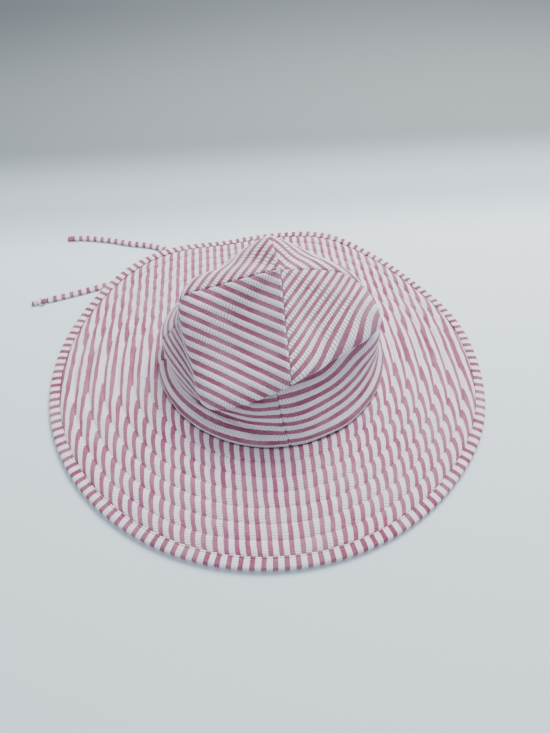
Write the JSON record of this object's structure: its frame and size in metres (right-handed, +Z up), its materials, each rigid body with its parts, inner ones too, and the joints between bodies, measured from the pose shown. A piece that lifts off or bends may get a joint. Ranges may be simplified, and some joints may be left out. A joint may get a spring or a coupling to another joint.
{
  "type": "baby sun hat",
  "caption": "Soft seersucker sun hat with a slumped panelled crown, a wide quilted brim with a bound edge, and loose ties lying on the surface beside it.",
  "frame": {"origin": "on the surface, under the middle of the part without its ties", "axes": "+Z up, the brim's stripes along Y, the front of the hat towards -Y, +X to the right of a viewer in front"},
  "size_m": [0.3287, 0.3141, 0.0985],
  "materials": {
    "crown_cloth": "puckered cotton, pink and white stripes",
    "brim_cloth": "quilted puckered cotton, pink and white stripes",
    "binding_cloth": "folded cotton strip, stripes across it",
    "tie_cloth": "folded cotton tape, stripes along it"
  },
  "bodies": {
    "root": {"crown_front_right": "crown_cloth", "crown_back_right": "crown_cloth", "crown_back_left": "crown_cloth", "crown_front_left": "crown_cloth", "brim": "brim_cloth", "brim_binding": "binding_cloth", "tie_right": "tie_cloth", "tie_left": "tie_cloth", "tie_left_knot": "tie_cloth"}
  },
  "joints": []
}
